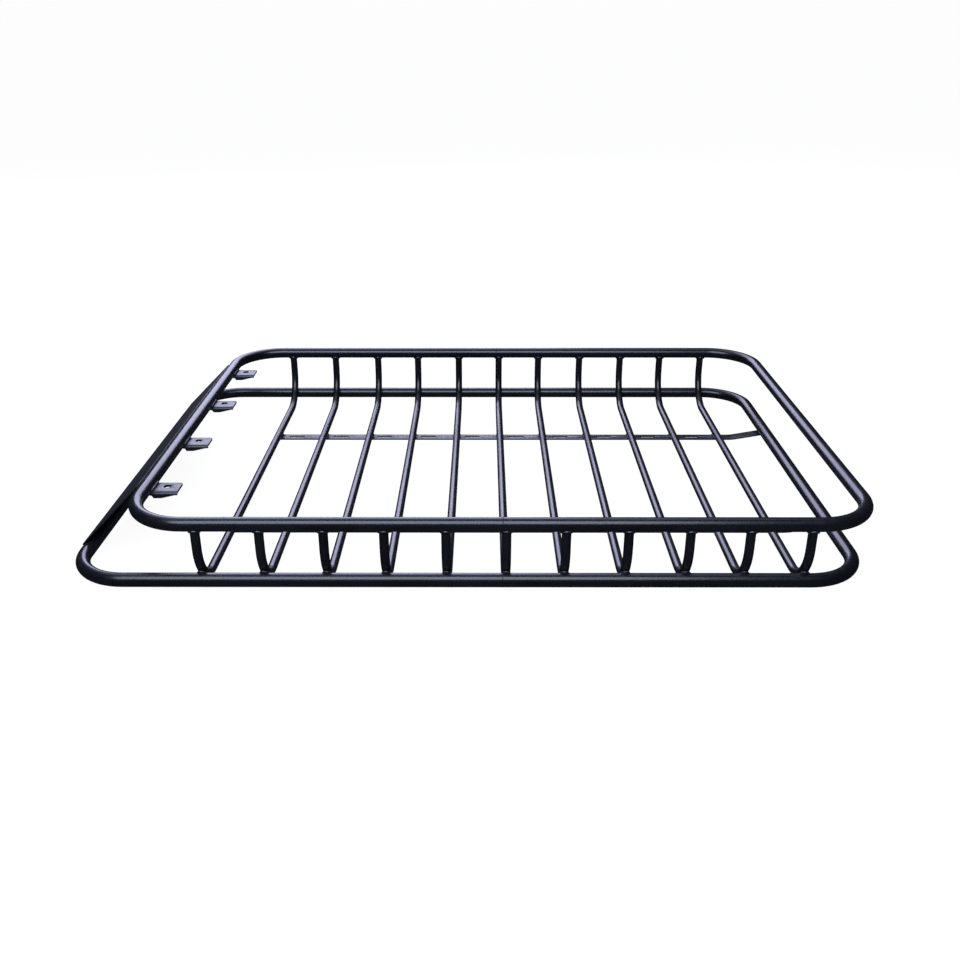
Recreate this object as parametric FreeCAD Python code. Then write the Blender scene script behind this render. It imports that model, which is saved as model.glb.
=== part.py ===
import FreeCAD, Part
import math
import os

from FreeCAD import Vector

os.makedirs("parts", exist_ok=True)

# Roof cargo basket, a welded steel-tube frame. Millimetres.
# X runs front (-X) to rear (+X), Y across the vehicle, +Z up.
# Origin: the centre of the footprint, on the underside of the mounting bars.

# Overall sizes
overall_length = 1297.0   # front of the lower rail to the rear of the upper rail
overall_width = 914.4     # outside to outside of the long side rails
rail_spacing = 98.2       # height from the lower rail's axis to the upper rail's axis
front_rake = 98.6         # the upper rail's front run stands this far behind the lower one
rear_rake = 9.3           # the lower rail's rear run stands this far inside the upper one

# Rails: two closed loops, each bent from two U-shaped tubes
rail_diameter = 23.0
rail_wall = 1.5
upper_corner_radius = 95.0  # bend radius of the tube's axis
lower_corner_radius = 89.0
seam_from_front = 701.0   # butt seam of both loops, from the front of the lower rail

# Cross rungs: U-shaped tubes from one side of the upper rail to the other
rung_diameter = 15.0
rung_wall = 1.2
rung_bend_radius = 71.0   # bend radius of the tube's axis
first_rung_from_front = 224.4
rung_gaps = (98.8, 99.6, 93.8, 96.1, 93.8, 92.6, 96.6, 95.4, 92.8, 95.1)

# Slotted mounting bars under the rungs
bar_width = 25.4
bar_thickness = 3.0
bar_side_offset = 220.5   # centre line of each bar from the middle of the basket
bar_bend_radius = 100.0   # inner radius of the rear upturn
bar_flat_past_rung = 23.8 # from the last rung's axis to the start of the upturn
bar_tail = 5.0            # length past the contact with the rear rail
slot_length = 33.0        # end to end
slot_width = 7.5
slot_pitch = 95.9
slot_count = 10
first_slot_from_rung = 38.2

# Light tabs on the inner side of the upper front rail
tab_reach = 42.5          # from the rail's surface to the free end
tab_width = 39.0
tab_thickness = 4.0
tab_drop = 4.6            # the plate's middle lies this far below the rail's axis
tab_side_inset = 46.2     # from the end of the rail's straight run to the outermost tab's middle
tab_count = 4
tab_hole_diameter = 12.0
tab_hole_reach = 20.5     # from the rail's surface to the hole's axis
tab_hole_offset = 4.5     # from the plate's centre line, away from the flange
tab_corner_radius = 3.0
tab_flange_depth = 11.0
tab_flange_root = 6.0     # depth of the flange where it meets the rail
tab_flange_start = 3.0    # from the rail's surface to the full depth
tab_flange_flat = 12.4    # length at the full depth, before the taper
tab_flange_tip = 4.0      # plain length left at the free end
tab_bend_radius = 1.5     # inner radius of the flange's bend

# Wind fairing: a flat sheet that leans from the lower to the upper front rail
fairing_thickness = 2.0
fairing_bottom_inset = 10.7  # from the end of the lower rail's straight run to the sheet's side
fairing_top_inset = 26.7     # the same at the upper rail
fairing_overhang = 2.0    # past the contact line with each rail
fairing_corner_radius = 5.0

# Gap left between two round or flat surfaces that a weld bead joins
weld_gap = 0.1

# Derived sizes
rail_r = rail_diameter / 2.0
rung_r = rung_diameter / 2.0
half_width = overall_width / 2.0 - rail_r
front_face = -overall_length / 2.0
lower_front_x = front_face + rail_r
upper_rear_x = overall_length / 2.0 - rail_r
upper_front_x = lower_front_x + front_rake
lower_rear_x = upper_rear_x - rear_rake
seam_x = front_face + seam_from_front
first_rung_x = front_face + first_rung_from_front

# The rung's bend rests against the inside of the lower rail.
rung_rail_distance = rail_r + rung_r + weld_gap
bend_rise = math.sqrt((rung_bend_radius + rung_rail_distance) ** 2 - rung_bend_radius ** 2)
rung_flat_z = bar_thickness + weld_gap + rung_r
bend_centre_z = rung_flat_z + rung_bend_radius
lower_z = bend_centre_z - bend_rise
upper_z = lower_z + rail_spacing
tab_top_z = upper_z - tab_drop + tab_thickness / 2.0
tab_low_z = tab_top_z - tab_thickness


def tube_solid(path, radius):
    """Solid rod of the given radius along a wire of straight runs and tangent arcs."""
    start = path.OrderedEdges[0].valueAt(path.OrderedEdges[0].FirstParameter)
    direction = path.OrderedEdges[0].tangentAt(path.OrderedEdges[0].FirstParameter)
    section = Part.Wire([Part.makeCircle(radius, start, direction)])
    return path.makePipeShell([section], True, False)


def hollow_tube(path, outer_radius, wall):
    """Open-ended tube along a wire."""
    return tube_solid(path, outer_radius).cut(tube_solid(path, outer_radius - wall))


def bend(centre, radius, start_dir, end_dir):
    """Quarter-circle arc about centre, from start_dir to end_dir (both unit vectors)."""
    middle = (start_dir + end_dir).normalize()
    start = centre + start_dir * radius
    end = centre + end_dir * radius
    return Part.Arc(start, centre + middle * radius, end).toShape()


def run(start, end):
    """Straight stretch of a tube's axis."""
    return Part.LineSegment(start, end).toShape()


def half_loop_path(open_x, end_x, corner_radius, z):
    """Axis of half a rail loop: open at open_x, closed by a cross run at end_x."""
    side = 1.0 if end_x > open_x else -1.0
    turn_x = end_x - side * corner_radius
    turn_y = half_width - corner_radius
    toward_end = Vector(side, 0, 0)
    toward_near = Vector(0, -1, 0)
    toward_far = Vector(0, 1, 0)
    near_centre = Vector(turn_x, -turn_y, z)
    far_centre = Vector(turn_x, turn_y, z)
    edges = [
        run(Vector(open_x, -half_width, z), Vector(turn_x, -half_width, z)),
        bend(near_centre, corner_radius, toward_near, toward_end),
        run(Vector(end_x, -turn_y, z), Vector(end_x, turn_y, z)),
        bend(far_centre, corner_radius, toward_end, toward_far),
        run(Vector(turn_x, half_width, z), Vector(open_x, half_width, z)),
    ]
    return Part.Wire(edges)


def rail_half(open_x, end_x, corner_radius, z):
    """One U-shaped rail tube."""
    return hollow_tube(half_loop_path(open_x, end_x, corner_radius, z), rail_r, rail_wall)


def upper_rail_envelope():
    """Solid outer shape of the whole upper loop, used to cope what is welded to it."""
    front = tube_solid(half_loop_path(seam_x, upper_front_x, upper_corner_radius, upper_z), rail_r)
    rear = tube_solid(half_loop_path(seam_x, upper_rear_x, upper_corner_radius, upper_z), rail_r)
    return front.fuse(rear)


def rung_path(x):
    """Axis of a rung: down from the near rail, across the floor, and up to the far rail."""
    turn_y = half_width - rung_bend_radius
    near = Vector(0, -1, 0)
    far = Vector(0, 1, 0)
    down = Vector(0, 0, -1)
    near_centre = Vector(x, -turn_y, bend_centre_z)
    far_centre = Vector(x, turn_y, bend_centre_z)
    edges = [
        run(Vector(x, -half_width, upper_z), Vector(x, -half_width, bend_centre_z)),
        bend(near_centre, rung_bend_radius, near, down),
        run(Vector(x, -turn_y, rung_flat_z), Vector(x, turn_y, rung_flat_z)),
        bend(far_centre, rung_bend_radius, down, far),
        run(Vector(x, half_width, bend_centre_z), Vector(x, half_width, upper_z)),
    ]
    return Part.Wire(edges)


def cross_rung(x, envelope):
    """One rung, its two ends coped to the underside of the upper rail."""
    return hollow_tube(rung_path(x), rung_r, rung_wall).cut(envelope)


def rung_positions():
    """X of each rung's axis, front to rear."""
    positions = [first_rung_x]
    for gap in rung_gaps:
        positions.append(positions[-1] + gap)
    return positions


def bar_rise_angle(centre, reach):
    """Slope of the line that touches the upturn's bend and the underside of the rear rail."""
    across = lower_rear_x - centre.x
    up = lower_z - centre.z
    return math.atan2(up, across) + math.asin((bar_bend_radius - reach) / math.hypot(across, up))


def bar_profile():
    """Side view of a mounting bar: flat under the rungs, then up under the rear rail."""
    top_z = bar_thickness
    reach = rail_r + weld_gap
    flat_end_x = rung_positions()[-1] + bar_flat_past_rung
    front_x = first_rung_x - rung_r
    centre = Vector(flat_end_x, 0, top_z + bar_bend_radius)
    angle = bar_rise_angle(centre, reach)
    sine = math.sin(angle)
    cosine = math.cos(angle)
    touch = Vector(lower_rear_x + reach * sine, 0, lower_z - reach * cosine)
    outer = bar_bend_radius + bar_thickness
    half = angle / 2.0
    tip = touch + Vector(cosine, 0, sine) * bar_tail
    below = Vector(sine, 0, -cosine) * bar_thickness
    top_bend_end = centre + Vector(sine, 0, -cosine) * bar_bend_radius
    low_bend_end = centre + Vector(sine, 0, -cosine) * outer
    top_mid = centre + Vector(math.sin(half), 0, -math.cos(half)) * bar_bend_radius
    low_mid = centre + Vector(math.sin(half), 0, -math.cos(half)) * outer
    edges = [
        run(Vector(front_x, 0, top_z), Vector(flat_end_x, 0, top_z)),
        Part.Arc(Vector(flat_end_x, 0, top_z), top_mid, top_bend_end).toShape(),
        run(top_bend_end, tip),
        run(tip, tip + below),
        run(tip + below, low_bend_end),
        Part.Arc(low_bend_end, low_mid, Vector(flat_end_x, 0, 0)).toShape(),
        run(Vector(flat_end_x, 0, 0), Vector(front_x, 0, 0)),
        run(Vector(front_x, 0, 0), Vector(front_x, 0, top_z)),
    ]
    return Part.Face(Part.Wire(edges))


def slot_cutter(x, y):
    """Round-ended slot along X, through the bar."""
    half_run = (slot_length - slot_width) / 2.0
    r = slot_width / 2.0
    depth = bar_thickness * 3.0
    base_z = -bar_thickness
    box = Part.makeBox(2.0 * half_run, slot_width, depth, Vector(x - half_run, y - r, base_z))
    front_end = Part.makeCylinder(r, depth, Vector(x - half_run, y, base_z))
    rear_end = Part.makeCylinder(r, depth, Vector(x + half_run, y, base_z))
    return box.fuse([front_end, rear_end])


def mount_bar(y):
    """One slotted mounting bar."""
    profile = bar_profile()
    profile.translate(Vector(0, y - bar_width / 2.0, 0))
    bar = profile.extrude(Vector(0, bar_width, 0))
    for index in range(slot_count):
        x = first_rung_x + first_slot_from_rung + index * slot_pitch
        bar = bar.cut(slot_cutter(x, y))
    return bar


def tab_plate(y):
    """Top plate of a light tab, before it is coped to the rail."""
    root_x = upper_front_x
    tip_x = upper_front_x + rail_r + tab_reach
    length = tip_x - root_x
    base = Vector(root_x, y - tab_width / 2.0, tab_low_z)
    plate = Part.makeBox(length, tab_width, tab_thickness, base)
    corners = [e for e in plate.Edges if is_free_corner(e, tip_x)]
    return plate.makeFillet(tab_corner_radius, corners)


def is_free_corner(edge, tip_x):
    """True for the two upright edges at the tab's free end."""
    ends = [v.Point for v in edge.Vertexes]
    upright = abs(ends[0].z - ends[1].z) > tab_thickness / 2.0
    return upright and all(abs(p.x - tip_x) < 0.001 for p in ends)


def tab_flange(y):
    """Stiffening flange that hangs from the near edge of a light tab."""
    near_y = y - tab_width / 2.0
    top_z = tab_top_z
    full = top_z - tab_flange_depth
    root_x = upper_front_x
    surface_x = upper_front_x + rail_r
    tip_x = surface_x + tab_reach - tab_flange_tip
    taper_x = surface_x + tab_flange_start + tab_flange_flat
    outline = [
        Vector(root_x, near_y, top_z),
        Vector(root_x, near_y, top_z - tab_flange_root),
        Vector(surface_x, near_y, top_z - tab_flange_root),
        Vector(surface_x + tab_flange_start, near_y, full),
        Vector(taper_x, near_y, full),
        Vector(tip_x, near_y, top_z - tab_thickness),
        Vector(tip_x, near_y, top_z),
        Vector(root_x, near_y, top_z),
    ]
    web = Part.Face(Part.makePolygon(outline)).extrude(Vector(0, tab_thickness, 0))
    return web


def tab_bend_fill(y):
    """Inside corner of the flange's bend."""
    inner_y = y - tab_width / 2.0 + tab_thickness
    low_z = tab_low_z
    start_x = upper_front_x
    length = rail_r + tab_flange_start + tab_flange_flat
    r = tab_bend_radius
    block = Part.makeBox(length, r, r, Vector(start_x, inner_y, low_z - r))
    axis_point = Vector(start_x, inner_y + r, low_z - r)
    hollow = Part.makeCylinder(r, length, axis_point, Vector(1, 0, 0))
    return block.cut(hollow)


def round_outer_bend(body, y):
    """Rounds the outside of the flange's bend, along the plate's near top edge."""
    near_y = y - tab_width / 2.0
    top_z = tab_top_z
    length = rail_r + tab_reach
    r = tab_bend_radius + tab_thickness
    corner = Part.makeBox(length, r, r, Vector(upper_front_x, near_y, top_z - r))
    axis_point = Vector(upper_front_x, near_y + r, top_z - r)
    keep = Part.makeCylinder(r, length, axis_point, Vector(1, 0, 0))
    return body.cut(corner.cut(keep))


def light_tab(y, envelope):
    """One flanged tab with a hole, coped to the upper front rail."""
    hole_x = upper_front_x + rail_r + tab_hole_reach
    hole_base = Vector(hole_x, y + tab_hole_offset, tab_low_z - tab_thickness)
    hole = Part.makeCylinder(tab_hole_diameter / 2.0, 3.0 * tab_thickness, hole_base)
    body = tab_plate(y).fuse([tab_flange(y), tab_bend_fill(y)]).removeSplitter()
    body = round_outer_bend(body, y)
    return body.cut(hole).cut(envelope)


def wind_fairing():
    """Flat sheet along the common outer tangent of the two front rails."""
    slope = Vector(front_rake, 0, rail_spacing).normalize()
    outward = Vector(-rail_spacing, 0, front_rake).normalize()
    stand_off = rail_r + weld_gap
    axis_distance = math.hypot(front_rake, rail_spacing)
    foot = Vector(lower_front_x, 0, lower_z) + outward * stand_off
    low = foot - slope * fairing_overhang
    high = foot + slope * (axis_distance + fairing_overhang)
    half_low = Vector(0, half_width - lower_corner_radius - fairing_bottom_inset, 0)
    half_high = Vector(0, half_width - upper_corner_radius - fairing_top_inset, 0)
    outline = [low - half_low, high - half_high, high + half_high, low + half_low, low - half_low]
    sheet = Part.Face(Part.makePolygon(outline)).extrude(outward * fairing_thickness)
    corners = [e for e in sheet.Edges if abs(e.Length - fairing_thickness) < 0.001]
    return sheet.makeFillet(fairing_corner_radius, corners)


def save(shape, node):
    """Writes one piece as a clean solid."""
    solids = shape.Solids
    if len(solids) != 1 or not solids[0].isValid():
        raise RuntimeError(node + " is not one valid solid")
    solids[0].exportStep("parts/" + node + ".step")
    print(node, round(solids[0].Volume / 1000.0, 2), "cm3")


def build_rails():
    """The four bent tubes of the upper and lower loops."""
    upper = (upper_corner_radius, upper_z)
    lower = (lower_corner_radius, lower_z)
    save(rail_half(seam_x, upper_front_x, *upper), "upper_rail_front")
    save(rail_half(seam_x, upper_rear_x, *upper), "upper_rail_rear")
    save(rail_half(seam_x, lower_front_x, *lower), "lower_rail_front")
    save(rail_half(seam_x, lower_rear_x, *lower), "lower_rail_rear")


def build_rungs(envelope):
    """All cross rungs, numbered from the front."""
    for number, x in enumerate(rung_positions(), start=1):
        save(cross_rung(x, envelope), "cross_rung_%02d" % number)


def build_bars():
    """The near and far mounting bars."""
    save(mount_bar(-bar_side_offset), "mount_bar_near")
    save(mount_bar(bar_side_offset), "mount_bar_far")


def build_tabs(envelope):
    """The light tabs, numbered from the near side."""
    first_y = -(half_width - upper_corner_radius - tab_side_inset)
    pitch = -2.0 * first_y / (tab_count - 1)
    for index in range(tab_count):
        save(light_tab(first_y + index * pitch, envelope), "light_tab_%d" % (index + 1))


def main():
    """Builds the whole basket."""
    envelope = upper_rail_envelope()
    build_rails()
    build_rungs(envelope)
    build_bars()
    build_tabs(envelope)
    save(wind_fairing(), "wind_fairing")
    print("lower rail z", round(lower_z, 3), "upper rail z", round(upper_z, 3))


main()
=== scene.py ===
"""Looks of the roof cargo basket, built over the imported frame.

Metres. X runs front (-X) to rear (+X), Y across the vehicle (near side -Y), +Z up.
Every bent tube, slotted bar, folded tab and weld bead is made here in its final place.
"""

import logging
import math
from contextlib import contextmanager
from dataclasses import dataclass, field
from enum import Enum
from typing import Callable, Iterable, Iterator, List, Optional, Sequence, Tuple, Union

import bmesh
import bpy
from mathutils import Euler, Matrix, Vector


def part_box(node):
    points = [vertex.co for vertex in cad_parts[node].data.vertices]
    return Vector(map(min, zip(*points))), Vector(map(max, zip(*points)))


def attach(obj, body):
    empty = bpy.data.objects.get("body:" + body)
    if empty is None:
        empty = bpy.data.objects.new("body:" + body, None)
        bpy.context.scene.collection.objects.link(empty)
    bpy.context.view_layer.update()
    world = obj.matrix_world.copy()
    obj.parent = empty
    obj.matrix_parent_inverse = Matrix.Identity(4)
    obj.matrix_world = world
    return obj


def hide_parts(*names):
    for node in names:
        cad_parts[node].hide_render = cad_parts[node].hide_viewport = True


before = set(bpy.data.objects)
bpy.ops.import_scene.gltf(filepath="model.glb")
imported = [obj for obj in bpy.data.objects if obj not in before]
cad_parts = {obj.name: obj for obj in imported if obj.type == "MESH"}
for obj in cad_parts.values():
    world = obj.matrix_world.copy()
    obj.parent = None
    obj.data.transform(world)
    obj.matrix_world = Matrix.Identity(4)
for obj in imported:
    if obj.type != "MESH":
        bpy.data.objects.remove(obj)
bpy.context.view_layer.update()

Piece = bpy.types.Object
Socket = bpy.types.NodeSocket
Material = bpy.types.Material
Triple = Tuple[float, float, float]
Colour = Triple
Range = Tuple[float, float]
Box = Tuple[Vector, Vector]

LOG = logging.getLogger("roof_basket")
MM = 0.001
TINY = 0.01 * MM
SAME_PLACE = 1e-6
FINEST = 1e-7
QUARTER_TURN = math.pi / 2.0
FLAT: Triple = (0.0, 0.0, 0.0)
ALONG_X: Triple = (0.0, QUARTER_TURN, 0.0)
ALONG_Y: Triple = (QUARTER_TURN, 0.0, 0.0)
X_AXIS = Vector((1.0, 0.0, 0.0))
Y_AXIS = Vector((0.0, 1.0, 0.0))
Z_AXIS = Vector((0.0, 0.0, 1.0))
BOTH_WAYS = (-1.0, 1.0)
WELD_GAP = 0.1 * MM
SHARP_EDGE = 50.0
BEAD_CRISP = 60.0
TOOL_DEPTH = 4.0
BODY = "root"


# --- Bench: the modelling moves that every sub-assembly shares ---


class Side(Enum):
    """Which side of the basket a piece is on."""

    NEAR = -1.0
    FAR = 1.0


class Direction(Enum):
    """The way a rail half runs from its seam."""

    FRONT = -1.0
    REAR = 1.0


def put_down_all() -> None:
    """Leaves edit mode and deselects every object."""
    if bpy.context.mode != "OBJECT":
        bpy.ops.object.mode_set(mode="OBJECT")
    bpy.ops.object.select_all(action="DESELECT")


def pick_up(piece: Piece) -> None:
    """Makes one object the only selected and the active one.

    Args:
        piece: The object to work on.
    """
    put_down_all()
    piece.select_set(True)
    bpy.context.view_layer.objects.active = piece


@contextmanager
def on_bench(piece: Piece, kind: str = "VERT") -> Iterator[None]:
    """Opens a piece in edit mode and closes it again.

    Args:
        piece: The object to edit.
        kind: Selection mode, VERT, EDGE or FACE.
    """
    pick_up(piece)
    bpy.ops.object.mode_set(mode="EDIT")
    bpy.ops.mesh.select_mode(type=kind)
    yield
    bpy.ops.object.mode_set(mode="OBJECT")


def choose_all() -> None:
    """Selects the whole piece, in edit mode."""
    bpy.ops.mesh.select_all(action="SELECT")


def choose_points(piece: Piece, test: Callable[[Vector], bool]) -> None:
    """Selects the points that pass a test, and what lies between them, in edit mode.

    Args:
        piece: The object in edit mode.
        test: Takes a point and says whether it is wanted.
    """
    bpy.ops.mesh.select_all(action="DESELECT")
    mesh = bmesh.from_edit_mesh(piece.data)
    for vertex in mesh.verts:
        if test(vertex.co):
            vertex.select_set(True)
    mesh.select_flush(True)
    bmesh.update_edit_mesh(piece.data)


def shift_selection(move: Union[Vector, Triple]) -> None:
    """Moves what is selected."""
    bpy.ops.transform.translate(value=move)


def swell_selection(factor: float, centre: Vector) -> None:
    """Scales what is selected about a point."""
    bpy.ops.transform.resize(value=(factor, factor, factor), center_override=centre)


def draw_out(move: Union[Vector, Triple]) -> None:
    """Extrudes what is selected along a straight."""
    bpy.ops.mesh.extrude_region_move(TRANSFORM_OT_translate={"value": move})


def swing_round(centre: Vector, axis: Vector, angle: float, steps: int) -> None:
    """Extrudes what is selected round an axis, right-handed, and leaves the last step selected.

    Args:
        centre: A point of the axis.
        axis: Its direction.
        angle: Swing in radians.
        steps: How many steps it takes.
    """
    bpy.ops.mesh.spin(steps=steps, dupli=False, angle=-angle, center=centre, axis=axis)


def new_blank(name: str) -> Piece:
    """Names the primitive that was just added and puts its place into its mesh.

    Args:
        name: The piece's name.

    Returns:
        The new object, at the origin, unturned and unscaled.
    """
    piece = bpy.context.active_object
    piece.name = piece.data.name = name
    bpy.ops.object.transform_apply(location=True, rotation=True, scale=True)
    return piece


def lay_plate(name: str, middle: Sequence[float], size: Range, facing: Triple = FLAT) -> Piece:
    """Adds a flat one-faced plate.

    Args:
        name: The piece's name.
        middle: Its middle.
        size: Its sides before it is turned, along X and Y.
        facing: Its rotation from lying flat.

    Returns:
        The plate.
    """
    put_down_all()
    bpy.ops.mesh.primitive_plane_add(size=1.0, location=middle, rotation=facing)
    bpy.context.active_object.scale = (*size, 1.0)
    return new_blank(name)


def apply_modifiers(piece: Piece) -> None:
    """Applies every modifier of a piece, in order."""
    pick_up(piece)
    for modifier in list(piece.modifiers):
        bpy.ops.object.modifier_apply(modifier=modifier.name)


def face_outwards(piece: Piece) -> None:
    """Merges doubled points and turns every face outwards."""
    with on_bench(piece):
        choose_all()
        bpy.ops.mesh.remove_doubles(threshold=SAME_PLACE)
        bpy.ops.mesh.normals_make_consistent(inside=False)


def round_corners(skin: Piece, radius: float, steps: int, outward: Vector) -> None:
    """Rounds a skin's chosen corners and turns its faces one way, in edit mode.

    Args:
        skin: The open skin.
        radius: Size of the rounding.
        steps: Steps round each corner.
        outward: The way that most of its faces look.
    """
    bpy.ops.mesh.bevel(offset=radius, segments=steps, affect="VERTICES")
    choose_all()
    bpy.ops.mesh.normals_make_consistent(inside=False)
    faces = bmesh.from_edit_mesh(skin.data).faces
    if sum(face.normal.dot(outward) * face.calc_area() for face in faces) < 0.0:
        bpy.ops.mesh.flip_normals()


def give_wall(piece: Piece, wall: float) -> None:
    """Gives a shell its wall, inwards from the outer surface.

    Args:
        piece: The shell.
        wall: Thickness in metres.
    """
    modifier = piece.modifiers.new("wall", "SOLIDIFY")
    modifier.thickness = wall
    modifier.offset = -1.0
    modifier.use_even_offset = True
    apply_modifiers(piece)


def cut_away(piece: Piece, tool: Piece) -> None:
    """Cuts one closed shape out of another and throws the tool away.

    Args:
        piece: The object that is cut.
        tool: The closed shape that is removed.
    """
    modifier = piece.modifiers.new("cut", "BOOLEAN")
    modifier.operation = "DIFFERENCE"
    modifier.solver = "EXACT"
    modifier.object = tool
    apply_modifiers(piece)
    bpy.data.objects.remove(tool, do_unlink=True)


def break_edges(piece: Piece, width: float, segments: int = 2) -> None:
    """Takes the sharpness off a piece's edges, as the coat does.

    Args:
        piece: The object.
        width: Width of the rounding in metres.
        segments: Steps across the rounding.
    """
    modifier = piece.modifiers.new("edges", "BEVEL")
    modifier.width = width
    modifier.segments = segments
    modifier.limit_method = "ANGLE"
    modifier.angle_limit = math.radians(SHARP_EDGE)
    apply_modifiers(piece)


def smooth_over(piece: Piece, angle: float = 35.0) -> None:
    """Shades a piece smooth except across its sharp edges.

    Args:
        piece: The object.
        angle: Edges sharper than this, in degrees, stay crisp.
    """
    pick_up(piece)
    bpy.ops.object.shade_smooth_by_angle(angle=math.radians(angle))


def copy_to(piece: Piece, name: str, move: Vector) -> Piece:
    """Copies a piece to another place, with a mesh of its own.

    Args:
        piece: The pattern piece.
        name: The copy's name.
        move: How far the copy stands from the pattern.

    Returns:
        The copy, at the origin, its place in its mesh.
    """
    pick_up(piece)
    bpy.ops.object.duplicate(linked=False)
    shift_selection(move)
    return new_blank(name)


def spread(first: Piece, moves: Iterable[Vector]) -> List[Piece]:
    """Copies a pattern piece to more places.

    Args:
        first: The pattern piece, which stays.
        moves: How far each copy stands from it; no copy is made for no move.

    Returns:
        The pattern piece and its copies.
    """
    name = first.name
    return [first] + [copy_to(first, name, move) for move in moves if move.length > SAME_PLACE]


def join_up(pieces: Sequence[Piece], name: str) -> Piece:
    """Joins several pieces into one object.

    Args:
        pieces: The pieces, two or more.
        name: Name of the result.

    Returns:
        The joined object.
    """
    pick_up(pieces[0])
    for piece in pieces[1:]:
        piece.select_set(True)
    bpy.ops.object.join()
    joined = bpy.context.active_object
    joined.name = joined.data.name = name
    return joined


# --- Where things are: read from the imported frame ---


def boxes_of(start: str) -> List[Box]:
    """Boxes of the nodes whose names start with a word, in the order of their names."""
    return [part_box(name) for name in sorted(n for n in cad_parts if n.startswith(start))]


@dataclass(frozen=True)
class Loop:
    """Axis sizes of one rail loop."""

    front_x: float
    rear_x: float
    z: float
    corner_radius: float

    @classmethod
    def read(cls, name: str, rail_r: float, corner_radius: float) -> "Loop":
        """Reads a loop from the boxes of its two halves.

        Args:
            name: The loop's name.
            rail_r: Radius of its tube.
            corner_radius: Axis radius of its corners.

        Returns:
            The loop.
        """
        low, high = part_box(name + "_front")
        _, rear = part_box(name + "_rear")
        return cls(low.x + rail_r, rear.x - rail_r, (low.z + high.z) / 2.0, corner_radius)


@dataclass(frozen=True)
class Layout:
    """Axis places of the basket's tubes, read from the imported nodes."""

    rail_r: float
    half_width: float
    seam_x: float
    upper: Loop
    lower: Loop
    rung_r: float
    rung_xs: Tuple[float, ...]
    rung_flat_z: float
    rung_bend_radius: float

    @property
    def bend_centre_z(self) -> float:
        """Height of the centre of a rung's bends."""
        return self.rung_flat_z + self.rung_bend_radius

    @property
    def rung_moves(self) -> List[Vector]:
        """How far each rung stands from the first."""
        return [Vector((x - self.rung_xs[0], 0.0, 0.0)) for x in self.rung_xs]

    @classmethod
    def read(cls, upper_corner: float, lower_corner: float, rung_bend: float) -> "Layout":
        """Reads the frame's node boxes.

        Args:
            upper_corner: Axis radius of the upper loop's corners.
            lower_corner: Axis radius of the lower loop's corners.
            rung_bend: Axis radius of a rung's bends.

        Returns:
            The layout.
        """
        low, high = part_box("upper_rail_front")
        rail_r = (high.z - low.z) / 2.0
        rungs = boxes_of("cross_rung_")
        first_low, first_high = rungs[0]
        rung_r = (first_high.x - first_low.x) / 2.0
        return cls(
            rail_r=rail_r,
            half_width=(high.y - low.y) / 2.0 - rail_r,
            seam_x=high.x,
            upper=Loop.read("upper_rail", rail_r, upper_corner),
            lower=Loop.read("lower_rail", rail_r, lower_corner),
            rung_r=rung_r,
            rung_xs=tuple((start.x + end.x) / 2.0 for start, end in rungs),
            rung_flat_z=first_low.z + rung_r,
            rung_bend_radius=rung_bend,
        )


# --- Finishes ---


@dataclass(frozen=True)
class Pattern:
    """A noise pattern in the object's own metres."""

    per_metre: float
    octaves: float = 3.0
    fineness: float = 0.55
    swirl: float = 0.0


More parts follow.
